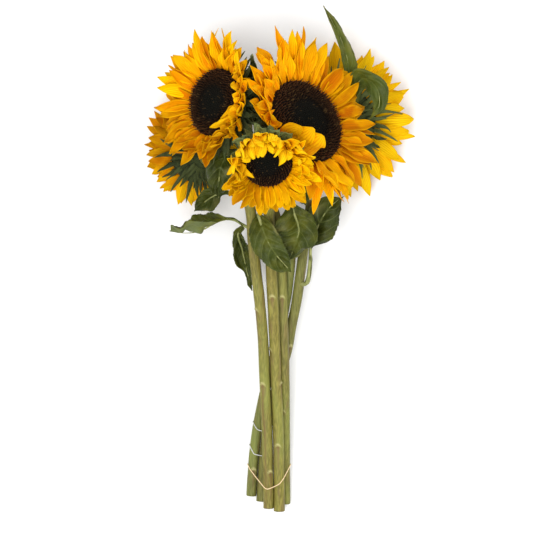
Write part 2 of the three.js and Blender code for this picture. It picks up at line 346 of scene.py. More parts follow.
stem_green = finish("stem_green", paint_stem, roughness=0.55, specular=0.25)
stem_pith = finish("stem_pith", paint_pith, roughness=0.8)
stalks = {}
for letter in "abcde":
    hoops = rings(f"stem_{letter}", STEM_CORNERS)
    if middle(hoops[0]).y > middle(hoops[-1]).y:
        hoops.reverse()
    path = smooth_path([middle(hoop) for hoop in hoops], STEM_STEPS)
    stalks[letter] = path
    thick = STEM_THICK[letter]

    def scar_at(row, angle, path=path, letter=letter):
        """The pale lip of a leaf scar, the dent below it and the brown streak that runs from it."""
        lip = dent = streak = 0
        for y, degrees, run in SCARS[letter]:
            turn = math.remainder(angle - math.radians(degrees), math.tau)
            rise = path[row].y - y - LIP_ARCH * (1 - (turn / 0.6) ** 2)
            lip = max(lip, math.exp(-((turn / LIP_WIDTH) ** 4) - (rise / 0.0011) ** 2))
            dent = max(dent, math.exp(-((turn / 0.4) ** 2) - ((rise + 0.003) / 0.002) ** 2))
            if 0 < y - path[row].y < run:
                wander = 0.25 * noise.noise(Vector((0, path[row].y * 30, y)))
                fade = 1 - (y - path[row].y) / run
                streak = max(streak, math.exp(-(((turn - wander) / 0.2) ** 2)) * fade**0.6)
        return lip, dent, streak

    def stem_radius(row, angle, path=path, thick=thick, scar_at=scar_at):
        """The stem's own thickness with its ribs, knobs, scars and the flare under the head."""
        spot = path[row]
        ribs = RIB_DEPTH * math.cos(RIBS * angle + 2 * noise.noise(spot * 20))
        knobbly = KNOB_DEPTH * noise.noise(Vector((math.cos(angle), spot.y * 45, math.sin(angle))))
        flare = max(0, 1 - (len(path) - 1 - row) / STEM_FLARE_ROWS)
        lip, dent, streak = scar_at(row, angle)
        scar = LIP_HEIGHT * lip - DENT_DEPTH * dent - STREAK_DEPTH * streak
        return thick + ribs + knobbly + (STEM_NECK - thick) * flare**2 + scar

    def stem_look(row, angle, letter=letter, scar_at=scar_at):
        """How pale, how yellow and how brown the stem is there, with painted shade in the yellow share
        of the back stems.
        """
        lip, dent, streak = scar_at(row, angle)
        return lip, STEM_GREENS_AND_SHADE[letter], max(streak, dent), 1

    bm = bmesh.new()
    bm.verts.layers.float_color.new("look")
    ends = tube(bm, path, stem_radius, STEM_SIDES, stem_look)
    cut = min(ends, key=lambda face: face.calc_center_median().y)
    bmesh.ops.inset_individual(bm, faces=[cut], thickness=CUT_RIM, depth=CUT_HOLLOW)
    cut.material_index = 1
    show(f"stalk_{letter}", bm, "stem", [stem_green, stem_pith], f"stem_{letter}")


# ---- Leaves ----
# Soft dark green blades with pale veins, toothed along the edge, puckered between the veins and
# wilting. Each hangs on a stalk that grows out of the nearest stem and runs on as its midrib.
# The CAD leaf's corners across it, and the finished blade's columns and rows for each of its own.
LEAF_CORNERS = 10
LEAF_COLUMNS = 20
LEAF_STEPS = 9
LEAF_TEETH = 17
LEAF_THICK = 0.0005
TOOTH_DEPTH = 0.05
VEIN_PAIRS = 7.0
VEIN_SLANT = 1.6
VEIN_ARCH = 1.3
# How far the blade rises between its veins, waves at its edge, and creases and wrinkles.
PUCKER = 0.0008
WAVE = 0.0022
CREASE = 0.0035
WRINKLE = 0.0012
# The stalk lies this far under the blade and ends this thin.
STALK_DROP = Vector((0, 0, 0.0006))
STALK_END = 0.00025
STALK_STEPS = 4
STALK_SIDES = 10
# Each leaf's tone from dark to fresh, its share of olive, how crumpled it is, how much its edges
# roll up, and the radius of its stalk.
LEAVES = {
    "leaf_top_long": (0.75, 0.35, 0.35, 0.0, 0.0016),
    "leaf_right_folded": (0.65, 0.6, 0.6, 0.2, 0.0016),
    "leaf_between_heads": (0.12, 0.1, 1.2, 0.25, 0.0016),
    "leaf_under_left_head": (0.22, 0.1, 1.2, 0.2, 0.0017),
    "leaf_left_lower": (0.3, 0.1, 1.0, 0.15, 0.0015),
    "leaf_left_drooping": (0.55, 0.35, 1.5, 0.1, 0.0016),
    "leaf_left_hanging": (0.3, 0.3, 1.6, 0.25, 0.0014),
    "leaf_centre": (0.45, 0.25, 0.9, 0.12, 0.0018),
    "leaf_right_broad": (0.42, 0.3, 1.3, 0.1, 0.0018),
    "leaf_right_stalked": (0.2, 0.15, 1.2, 0.1, 0.0026),
    "leaf_under_front_head": (0.45, 0.2, 1.2, 0.3, 0.0013),
}


def leaf_vein_effect():
    """Pale lines that leave the midrib in pairs and arch towards the edge, with a fine net between."""
    inputs = {"Pairs": VEIN_PAIRS, "Slant": VEIN_SLANT, "Thin": 0.1}
    tree, way_in, way_out = group("leaf_veins", inputs, ["Vein", "Pucker"])
    uv = node(tree, "SeparateXYZ", {0: node(tree, "TexCoord").outputs["UV"]})
    off_rib = sums(tree, "SUBTRACT", sums(tree, "MULTIPLY", uv.outputs[0], 2.0), 1.0)
    off_rib = sums(tree, "ABSOLUTE", off_rib)
    slant = sums(tree, "MULTIPLY", sums(tree, "POWER", off_rib, VEIN_ARCH), way_in.outputs["Slant"])
    order = sums(tree, "SUBTRACT", sums(tree, "MULTIPLY", uv.outputs[1], way_in.outputs["Pairs"]), slant)
    cell = sums(tree, "ABSOLUTE", sums(tree, "SUBTRACT", sums(tree, "FRACT", order), 0.5))
    line = node(tree, "MapRange", {"Value": cell, 1: way_in.outputs["Thin"], 2: 0.0},
                interpolation_type="SMOOTHSTEP")
    rib = node(tree, "MapRange", {"Value": off_rib, 1: 0.09, 2: 0.02}, interpolation_type="SMOOTHSTEP")
    net = node(tree, "TexVoronoi", {"Vector": node(tree, "TexCoord").outputs["Object"], "Scale": 420.0},
               feature="DISTANCE_TO_EDGE")
    net = node(tree, "MapRange", {"Value": net.outputs["Distance"], 1: 0.12, 2: 0.0})
    net = sums(tree, "MULTIPLY", net.outputs[0], 0.3)
    vein = sums(tree, "MAXIMUM", sums(tree, "MAXIMUM", line.outputs[0], rib.outputs[0]), net)
    tree.links.new(vein, way_out.inputs["Vein"])
    tree.links.new(sums(tree, "SUBTRACT", 1.0, vein), way_out.inputs["Pucker"])
    return tree


leaf_veins = leaf_vein_effect()


def paint_leaf(upper):
    """Wires a leaf's upper or under side."""
    deep, bright, pale = {
        True: ((0.012, 0.018, 0.002, 1), (0.068, 0.09, 0.008, 1), (0.15, 0.175, 0.045, 1)),
        False: ((0.06, 0.078, 0.024, 1), (0.17, 0.2, 0.07, 1), (0.28, 0.3, 0.13, 1)),
    }[upper]

    def wire(tree):
        made = node(tree, "Group")
        made.node_tree = leaf_veins
        tone, olive, brown = looks_of(tree)
        tone = sums(tree, "ADD", tone, sums(tree, "MULTIPLY", mottled(tree, 60), 0.25))
        tone = sums(tree, "SUBTRACT", tone, 0.12, clamp=True)
        green = blend(tree, tone, deep, bright)
        olive = sums(tree, "MULTIPLY", olive, mottled(tree, 45, 1, 0.4, 0.7))
        green = blend(tree, olive, green, (0.2, 0.19, 0.01, 1))
        faint = sums(tree, "MULTIPLY", made.outputs["Vein"], 0.34)
        green = blend(tree, faint, green, pale)
        green = blend(tree, sums(tree, "MULTIPLY", brown, 0.8), green, (0.33, 0.3, 0.1, 1))
        return {"Base Color": green, "Normal": bump(tree, made.outputs["Pucker"], 0.0005, 0.7)}

    return wire


def paint_rib(tree):
    colour = blend(tree, mottled(tree, 300, 4), (0.2, 0.22, 0.06, 1), (0.33, 0.34, 0.12, 1))
    return {"Base Color": colour, "Normal": bump(tree, mottled(tree, 1200, 6), 0.0003)}


leaf_upper = finish("leaf_upper", paint_leaf(True), roughness=0.48, specular=0.2)
leaf_under = finish("leaf_under", paint_leaf(False), roughness=0.7, specular=0.15)
leaf_rib = finish("leaf_rib", paint_rib, roughness=0.6)


def leaf_rows(cad_node):
    """A CAD leaf as rows of left edge, midrib, right edge and upward normal, from foot to tip."""
    hoops = rings(cad_node, LEAF_CORNERS)

    def spread(hoop):
        """How wide a hoop is."""
        return max((a - b).length for a in hoop for b in hoop)

    if spread(hoops[0]) < spread(hoops[-1]):
        hoops.reverse()
    middles = [middle(hoop) for hoop in hoops]
    rows = []
    for k, hoop in enumerate(hoops):
        heading = (middles[min(k + 1, len(hoops) - 1)] - middles[max(k - 1, 0)]).normalized()
        up = (Vector((0, 0, 1)) - heading * heading.z).normalized()
        side = heading.cross(up)
        if 0 < k < len(hoops) - 1:
            ends = max(((a, b) for a in hoop for b in hoop), key=lambda pair: (pair[0] - pair[1]).length)
            true_side = ends[0] - ends[1]
            true_side = (true_side - heading * true_side.dot(heading)).normalized()
            side = true_side if true_side.dot(side) > 0 else -true_side
            up = side.cross(heading)
        order = sorted(hoop, key=lambda point: point.dot(side))
        rows.append((middle(order[:2]), middle(order[4:6]), middle(order[-2:]), up))
    return rows


def thicken(piece, thickness, two_sided):
    """Gives a sheet its thickness; a two-sided one shows its second material on the back."""
    sheet = piece.modifiers.new("sheet", "SOLIDIFY")
    sheet.thickness = thickness
    sheet.offset = -1
    sheet.material_offset = 1 if two_sided else 0


def stalk_foot(spot):
    """Where a leaf stalk leaves the nearest stem, a little below the spot that it grows towards."""
    nearest = min((point for path in stalks.values() for point in path),
                  key=lambda point: (point - spot).length)
    path = next(path for path in stalks.values() if nearest in path)
    return path[max(0, path.index(nearest) - 3)]


for count, (name, (tone, olive, crumple, roll, stalk_radius)) in enumerate(LEAVES.items()):
    rows = leaf_rows(name)
    left, rib, right, ups = [smooth_path([row[k] for row in rows], LEAF_STEPS) for k in range(4)]
    last = len(rib) - 1
    widest = max((a - b).length for a, b in zip(left, right))
    phase = 2.1 * count
    bm = bmesh.new()
    bm.loops.layers.uv.new("UVMap")
    look = bm.verts.layers.float_color.new("look")
    grid = bmesh.ops.create_grid(bm, x_segments=LEAF_COLUMNS, y_segments=last, size=0.5, calc_uvs=True)
    for vert in grid["verts"]:
        across, along = vert.co.x * 2, vert.co.y + 0.5
        row = round(along * last)
        edge = left[row] if across < 0 else right[row]
        reach = (edge - rib[row]).length
        blade = min(1, reach / (0.25 * widest))
        tooth = 1 - TOOTH_DEPTH * blade * abs(across) ** 4 * (along * LEAF_TEETH % 1)
        order = along * VEIN_PAIRS - abs(across) ** VEIN_ARCH * VEIN_SLANT
        pucker = -math.cos(order * math.tau) * PUCKER * (1 - abs(across) ** 3)
        wave = math.sin(along * 15 + phase + (2 if across < 0 else 0)) * WAVE * across**2
        dome = 0.1 * reach * (abs(across) - across**2) * 4 + roll * reach * abs(across) ** 3
        rough = noise.noise(Vector((across * 1.6, along * 5, phase))) * CREASE
        rough += noise.noise(Vector((across * 4, along * 13, phase))) * WRINKLE
        lift = (pucker + (wave + rough) * (0.4 + crumple) + dome) * blade
        shrink = 1 - 0.12 * crumple * blade * noise.noise(Vector((phase, along * 6, 2 * across)))
        pointed = min(1, 0.12 + (1 - along) * 8)
        vert.co = rib[row].lerp(edge, abs(across) * tooth * shrink * pointed)
        vert.co += ups[row].normalized() * lift * pointed
        brown = max(0, noise.noise(Vector((across, along * 4, phase + 5))) * 2 - 0.7) * abs(across)
        vert[look] = (tone, olive, min(1, brown + (0.6 if along > 0.985 else 0)), 1)
    blade = show(name.replace("leaf", "blade"), bm, "leaf", [leaf_upper, leaf_under], name)
    thicken(blade, LEAF_THICK, two_sided=True)

    route = smooth_path([stalk_foot(rib[0]), *rib[::LEAF_STEPS]], STALK_STEPS)
    route = [point - STALK_DROP for point in route]

    def rib_radius(row, angle, last=len(route) - 1, stalk_radius=stalk_radius):
        """The stalk tapers to the leaf's tip and is a little flatter on top."""
        taper = stalk_radius * (1 - row / last) ** 1.3 + STALK_END
        return taper * (0.8 if math.sin(angle) > 0.3 else 1.0)

    bm = bmesh.new()
    tube(bm, route, rib_radius, STALK_SIDES)
    show(name.replace("leaf", "stalk_of"), bm, "leaf", [leaf_rib], name)


# ---- Green cups ----
# Each head sits in a fleshy green cup that grows from its stem. Pointed, hairy bracts stand on
# the cup in four rows and lie behind the petals.
DISK_DEPTH = 0.008
CUP_DEPTH = 0.027
CUP_STEPS = 40
RIM_WIDTH = 0.0015
POLE = 1e-6
BRACT_GRID = (4, 7)
BRACT_THICK = 0.0006
BRACT_FLOOR = 0.0006
# Each row of bracts: its share of the rim's radius, its height, its length and how it drops.
BRACT_ROWS = [(0.98, -0.0105, 1.0, 0.0), (0.8, -0.0165, 0.95, -0.14), (0.6, -0.021, 0.8, -0.3),
              (0.4, -0.024, 0.7, -0.3)]
# Petals: petals is how many stand in each of the three rings, width is one's width, lemon how
# yellow they are, crumple how rumpled, keel how far each is folded lengthwise, then the least and
# most of a petal's brightness, drawn at random, and the angle in degrees of the side of the head
# where the petals are darkened with painted shade.
# Bracts: long, wide, how far they follow the petals' lean, pale for their colour, wilt for how
# limp they are, and gap for the room between them.
# habit rows are (angle, length, lean, curl) round the head, in millimetres and degrees, and folded
# lists single petals that lie over the disk, as (angle, length, width, lean, curl, sway).
HEADS = {
    "a": {
        "petals": 27, "width": 0.0128, "lemon": 0.42, "crumple": 0.75, "keel": 0.5,
        "bright": (0.35, 1.2), "shaded_side": 245,
        "bract": {"long": 0.025, "wide": 0.0075, "follow": 0.7, "pale": 0.1, "wilt": 1.0, "gap": 1.15},
        "habit": [(0, 22, 48, 20), (40, 26, 30, 8), (65, 38, 28, 6), (95, 42, 18, 0), (130, 42, 18, 0),
                  (180, 42, 20, -4), (225, 40, 26, 0), (270, 34, 40, 16), (312, 27, 46, 26)],
        "folded": [(-12, 25, 9, 70, 40, 0.5), (-22, 24, 8, 76, 40, 0.6), (-36, 25, 9, 82, 36, 0.5),
                   (22, 29, 9, 34, 16, -0.6), (36, 32, 10, 30, 6, -0.5), (50, 34, 10, 28, 0, -0.4)],
    },
    "b": {
        "petals": 28, "width": 0.0152, "lemon": 0.22, "crumple": 0.45, "keel": 0.4,
        "bright": (0.6, 1.0), "shaded_side": 5,
        "bract": {"long": 0.027, "wide": 0.0085, "follow": 0.7, "pale": 0.1, "wilt": 1.0, "gap": 1.15},
        "habit": [(0, 42, 14, 0), (40, 47, 12, 0), (75, 54, 12, 0), (95, 54, 13, 0), (115, 47, 20, 0),
                  (135, 41, 24, 0), (160, 36, 26, 5), (185, 26, 30, 10), (215, 22, 30, 14),
                  (238, 36, 20, 6), (275, 51, 6, 0), (310, 45, 8, -4), (340, 41, 12, 0)],
        "folded": [(203, 38, 17, 62, 50, -0.1), (220, 46, 22, 66, 54, 0.05), (234, 45, 27, 68, 58, 0.0),
                   (176, 31, 12, 40, 6, 0.2), (165, 36, 11, 28, 0, -0.3), (150, 40, 11, 24, 0, -0.3)],
    },
    "c": {
        "petals": 27, "width": 0.0098, "lemon": 1.0, "crumple": 0.8, "keel": 0.9,
        "bright": (0.7, 1.3), "shaded_side": 250,
        "bract": {"long": 0.0155, "wide": 0.012, "follow": 0.5, "pale": 1.0, "wilt": 2.8, "gap": 1.1},
        "habit": [(0, 31, 40, 30), (60, 33, 58, 70), (120, 33, 60, 74), (180, 33, 50, 72),
                  (235, 30, 22, 20), (285, 28, 0, -10), (320, 29, 15, 10)],
        "folded": [(62, 22, 10, 80, 80, 0.1), (84, 26, 10, 76, 84, 0.2), (104, 32, 12, 78, 78, 0.0),
                   (124, 26, 10, 80, 80, -0.2), (146, 24, 10, 76, 84, 0.1)],
    },
    "d": {
        "petals": 26, "width": 0.0135, "lemon": 0.85, "crumple": 0.5, "keel": 0.4,
        "bright": (0.8, 1.0), "shaded_side": 0,
        "bract": {"long": 0.027, "wide": 0.004, "follow": 0.7, "pale": 0.8, "wilt": 2.0, "gap": 1.5},
        "habit": [(0, 40, 30, -26), (90, 44, 14, -6), (180, 39, 4, -6), (270, 44, 14, -6)],
        "folded": [],
    },
    "e": {
        "petals": 26, "width": 0.0115, "lemon": 0.25, "crumple": 0.5, "keel": 0.4,
        "bright": (0.65, 1.15), "shaded_side": 20,
        "bract": {"long": 0.021, "wide": 0.0048, "follow": 0.7, "pale": 0.15, "wilt": 1.2, "gap": 1.9},
        "habit": [(0, 25, 10, 0), (45, 41, 2, -4), (90, 40, 10, 0), (180, 31, 34, -26),
                  (225, 26, 34, -26), (270, 27, 14, 0), (315, 22, 24, 10)],
        "folded": [],
    },
}


def head_place(letter):
    """A head's frame and its disk's radius, read from the flat back of the CAD seed disk."""
    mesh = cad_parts[f"seed_disk_{letter}"].data
    areas = {}
    for face in mesh.polygons:
        way = tuple(round(part, 2) for part in face.normal)
        areas[way] = areas.get(way, 0) + face.area
    way = Vector(max(areas, key=areas.get)).normalized()
    flat = [face for face in mesh.polygons if face.normal.dot(way) > 0.999]
    facing = -sum((face.normal * face.area for face in flat), Vector()).normalized()
    back = [mesh.vertices[corner].co for face in flat for corner in face.vertices]
    up = (Vector((0, 1, 0)) - facing * facing.y).normalized()
    place = Matrix((up.cross(facing), up, facing)).transposed().to_4x4()
    place.translation = middle(back) + facing * DISK_DEPTH
    return place, max((point - middle(back)).length for point in back)


def stand(habit, angle):
    """Length in metres, lean and curl in radians of a petal at an angle round its head."""
    turn = math.degrees(angle) % 360
    rows = [*habit, (habit[0][0] + 360, *habit[0][1:])]
    near = next(k for k, row in enumerate(rows) if row[0] > turn)
    (start, *low), (end, *high) = rows[near - 1], rows[near]
    share = (turn - start) / (end - start)
    share = share * share * (3 - 2 * share)
    length, lean, curl = (a + (b - a) * share for a, b in zip(low, high))
    return length / 1000, math.radians(lean), math.radians(curl)


def lathe(bm, place, profile, steps):
    """A closed solid turned about a head's axis, from a profile of (radius, height) rows."""
    old = set(bm.verts)
    points = [bm.verts.new((radius, 0, height)) for radius, height in profile]
    lines = [bm.edges.new(pair) for pair in zip(points, points[1:])]
    bmesh.ops.spin(bm, geom=points + lines, cent=(0, 0, 0), axis=(0, 0, 1), angle=math.tau,
                   steps=steps, use_merge=True)
    new = [vert for vert in bm.verts if vert not in old]
    bmesh.ops.remove_doubles(bm, verts=new, dist=POLE)
    new = [vert for vert in bm.verts if vert not in old]
    faces = {face for vert in new for face in vert.link_faces}
    bmesh.ops.recalc_face_normals(bm, faces=list(faces))
    bmesh.ops.transform(bm, matrix=place, verts=new)
    return new


def strap(bm, place, grid, foot, size, lie, outline, folds, colour, floor=0.0):
    """One petal or bract: a flat grid bent along its length and set on a head.

    grid is (columns, rows), foot is (angle, radius, height) on the head, size is (length, width),
    lie is (lean, curl, twist, sway), folds is (keel, pleat, ruffle, phase), which rumple it, and
    floor is how low it may reach.
    """
    columns, rows = grid
    angle, radius, height = foot
    length, width = size
    lean, curl, twist, sway = lie
    keel, pleat, ruffle, phase = folds
    layer = bm.verts.layers.float_color.get("look")
    outward = Vector((math.cos(angle), math.sin(angle), 0))
    sideways = Vector((math.sin(angle), -math.cos(angle), 0))
    forward = Vector((0, 0, 1))
    spine = [outward * radius + forward * height]
    for k in range(rows):
        pitch = lean + curl * ((k + 0.5) / rows) ** 1.3
        spine.append(spine[-1] + (outward * math.cos(pitch) + forward * math.sin(pitch)) * length / rows)
    made = bmesh.ops.create_grid(bm, x_segments=columns, y_segments=rows, size=0.5, calc_uvs=True)
    for vert in made["verts"]:
        across, along = vert.co.x * 2, vert.co.y + 0.5
        row, column = round(along * rows), round((vert.co.x + 0.5) * columns)
        pitch = lean + curl * along**1.3
        face = forward * math.cos(pitch) - outward * math.sin(pitch)
        half = width / 2 * outline(along)
        ridge = pleat * (1 if column % 2 else -1) * min(1, half / 0.004) * (1 - 0.5 * along)
        lift = keel * half * abs(across) ** 1.5 + ridge
        lift += ruffle * half * across**2 * math.sin(along * 9 + phase + (1.7 if across < 0 else 0))
        lift += ruffle * half * 0.5 * noise.noise(Vector((across, along * 3, phase)))
        turn = twist * along**1.5
        side = sideways * math.cos(turn) + face * math.sin(turn)
        above = face * math.cos(turn) - sideways * math.sin(turn)
        bend = sideways * (sway * length * along**2)
        vert.co = place @ (spine[row] + side * (across * half) + bend + above * lift)
        vert.co.z = max(vert.co.z, floor)
        vert[layer] = (*colour, 1)


def bract_outline(along):
    """Half width of a bract along it, as a share of its widest half."""
    swell = 0.7 + 0.3 * math.sin(min(1, along / 0.25) * math.pi / 2)
    return swell * max(0.03, (1 - max(0, (along - 0.15) / 0.85)) ** 0.85)


def wilted_outline(along):
    """The same for the broad, limp bracts of the wilted head in front."""
    swell = 0.7 + 0.3 * math.sin(min(1, along / 0.3) * math.pi / 2)
    return swell * max(0.05, 1 - max(0, (along - 0.2) / 0.8) ** 2.4)


def smoothed(piece, levels):
    """Rounds a piece off with smaller faces."""
    rounding = piece.modifiers.new("smooth", "SUBSURF")
    rounding.levels = levels
    rounding.render_levels = levels


def paint_cup(tree):
    tint, pale, _ = looks_of(tree)
    green = blend(tree, mottled(tree, 150), (0.018, 0.026, 0.007, 1), (0.05, 0.066, 0.018, 1))
    green = blend(tree, sums(tree, "MULTIPLY", tint, 0.5), green, (0.09, 0.115, 0.035, 1))
    green = blend(tree, pale, green, (0.2, 0.24, 0.075, 1))
    hairs = mottled(tree, 2400, 1, 0.45, 0.7)
    green = blend(tree, sums(tree, "MULTIPLY", hairs, 0.3), green, (0.25, 0.28, 0.15, 1))
    return {"Base Color": green, "Normal": bump(tree, hairs, 0.0004)}


cup_green = finish("cup_green", paint_cup, roughness=0.8, specular=0.15)
places = {letter: head_place(letter) for letter in HEADS}
for letter, head in HEADS.items():
    place, radius = places[letter]
    draw = random.Random(f"bracts {letter}")
    rim = radius + RIM_WIDTH
    bm = bmesh.new()
    layer = bm.verts.layers.float_color.new("look")
    profile = [(0, -CUP_DEPTH), (0.0058, -CUP_DEPTH), (0.0068, -CUP_DEPTH + 0.002),
               (radius * 0.42, -0.0235), (radius * 0.7, -0.0185), (radius * 0.92, -0.0135),
               (rim, -0.0098), (rim - RIM_WIDTH, -0.0084), (0, -0.0084)]
    for vert in lathe(bm, place, profile, CUP_STEPS):
        vert[layer] = (0, 0, 0, 1)
    show(f"cup_{letter}", bm, "calyx", [cup_green], f"calyx_{letter}")

    bm = bmesh.new()
    bm.loops.layers.uv.new("UVMap")
    bm.verts.layers.float_color.new("look")
    bract = head["bract"]
    wilt = bract["wilt"]
    outline = wilted_outline if letter == "c" else bract_outline
    count = round(rim * math.tau / (bract["wide"] * bract["gap"]))
    for share, height, reach, drop in BRACT_ROWS:
        for k in range(count):
            angle = (k + draw.uniform(-0.25, 0.25) + share * 5) * math.tau / count
            _, lean, curl = stand(head["habit"], angle)
            lean = bract["follow"] * lean - 0.24 + drop + draw.uniform(-0.14, 0.14)
            length = bract["long"] * reach * draw.uniform(0.75, 1.15)
            size = (length, bract["wide"] * draw.uniform(0.85, 1.15))
            bend = 0.5 * curl + wilt * draw.uniform(-0.6, 0.3)
            lie = (lean, bend, wilt * draw.uniform(-0.4, 0.4), wilt * draw.uniform(-0.15, 0.15))
            folds = (0.4, 0.0, wilt * draw.uniform(0.1, 0.5), draw.uniform(0, 6))
            colour = (draw.random(), bract["pale"] * draw.uniform(0.5, 1), 0)
            foot = (angle, rim * share, height)
            strap(bm, place, BRACT_GRID, foot, size, lie, outline, folds, colour, BRACT_FLOOR)
    bracts = show(f"bracts_{letter}", bm, "calyx", [cup_green], f"calyx_{letter}")
    smoothed(bracts, 1)
    thicken(bracts, BRACT_THICK, two_sided=False)


# ---- Ray petals ----
# Three rings of separate golden petals stand round each disk, orange where they start, with fine
# lengthwise veins. They are pleated along their length, wavy at the edges and pointed at the tip.
PETAL_GRID = (8, 10)
PETAL_THICK = 0.00035
PLEAT = 0.0005
# How much painted shade darkens the petals on the shaded side of a head.
SIDE_SHADE = 0.85
# Petals pressed on the floor lie in four layers, this far up and this far from each other.
FLOOR_GAP = 0.0004
LAYER_GAP = 0.0005
# Each ring from the back to the front: how much the lean changes, its length, and its petals' seat,
# which is how far outside the disk and how high they start.
PETAL_RINGS = [(-0.1, 1.04, (0.0003, -0.0062)), (0.0, 1.0, (0.0, -0.0048)),
               (0.12, 0.88, (-0.0005, -0.0034))]
FRONT_SEAT = PETAL_RINGS[-1][-1]


def petal_outline(along):
    """Half width of a petal along it, as a share of its widest half."""
    swell = 1 - 0.6 * (1 - min(1, along / 0.42)) ** 2
    return swell * max(0.04, 1 - max(0, (along - 0.4) / 0.6) ** 2.7)


def folded_outline(along):
    """The same for the broad, blunt petals that lie over a disk."""
    swell = 1 - 0.6 * (1 - min(1, along / 0.5)) ** 2
    return swell * max(0.06, 1 - max(0, (along - 0.45) / 0.55) ** 3) ** 0.7


def petal_vein_effect():
    """Close lengthwise lines that wander a little."""
    tree, way_in, way_out = group("petal_veins", {"Count": 9}, ["Vein"])
    uv = node(tree, "SeparateXYZ", {0: node(tree, "TexCoord").outputs["UV"]})
    drift = node(tree, "TexNoise", {"Vector": node(tree, "TexCoord").outputs["Object"], "Scale": 90.0})
    strand = sums(tree, "ADD", uv.outputs[0], sums(tree, "MULTIPLY", drift.outputs[0], 0.12))
    strand = sums(tree, "MULTIPLY", sums(tree, "MULTIPLY", strand, math.tau), way_in.outputs["Count"])
    strand = sums(tree, "SINE", strand)
    strand = node(tree, "MapRange", {"Value": strand, 1: 0.1, 2: 1.0}, interpolation_type="SMOOTHSTEP")
    tree.links.new(strand.outputs[0], way_out.inputs["Vein"])
    return tree


petal_veins = petal_vein_effect()


def paint_petal(front):
    """Wires a petal's front or back."""

    def wire(tree):
        made = node(tree, "Group")
        made.node_tree = petal_veins
        made.inputs["Count"].default_value = 7.0
        bright, yellow, brown = looks_of(tree)
        uv = node(tree, "SeparateXYZ", {0: node(tree, "TexCoord").outputs["UV"]})
        gold = shades(tree, uv.outputs[1], (0.0, (0.7, 0.16, 0.0)), (0.2, (0.88, 0.27, 0.0)),
                      (0.6, (0.92, 0.33, 0.0)), (1.0, (0.93, 0.4, 0.0)))
        lemon = shades(tree, uv.outputs[1], (0.0, (0.85, 0.32, 0.0)), (0.22, (0.97, 0.52, 0.0)),
                       (1.0, (1.0, 0.67, 0.002)))
        gold = blend(tree, yellow, gold, lemon)
        # The backs are paler: partly their own lemon colour, partly painted light standing in for light
        # that shines through the thin petals.
        if not front:
            paler_and_glow = sums(tree, "ADD", sums(tree, "MULTIPLY", yellow, 0.6), 0.15)
            gold = blend(tree, paler_and_glow, gold, (1.0, 0.66, 0.008, 1))
        # Each petal's brightness holds its own random tone and the painted shade on one side of its
        # head; it tints the petal towards a dull brown.
        tone_and_shade = blend(tree, bright, (0.47, 0.34, 0.35, 1), WHITE)
        gold = blend(tree, 1.0, gold, tone_and_shade, "MULTIPLY")
        # Lighter towards the long edges: partly the petals' own lemon edges, partly a painted highlight
        # on edges that curl up into the light.
        off_middle = sums(tree, "SUBTRACT", sums(tree, "MULTIPLY", uv.outputs[0], 2.0), 1.0)
        off_middle = sums(tree, "ABSOLUTE", off_middle)
        edge = sums(tree, "MULTIPLY", sums(tree, "POWER", off_middle, 3.0), 0.4)
        gold = blend(tree, edge, gold, (0.98, 0.58, 0.0, 1))
        blotch = sums(tree, "MULTIPLY", mottled(tree, 80, 1, 0.45, 0.75), 0.3)
        gold = blend(tree, blotch, gold, (0.98, 0.56, 0.0, 1))
        line = sums(tree, "MULTIPLY", made.outputs["Vein"], 0.42)
        gold = blend(tree, line, gold, (0.7, 0.19, 0.0, 1))
        gold = blend(tree, sums(tree, "MULTIPLY", brown, 0.7), gold, (0.4, 0.16, 0.01, 1))
        return {"Base Color": gold, "Normal": bump(tree, made.outputs["Vein"], 0.0004, 0.8)}

    return wire


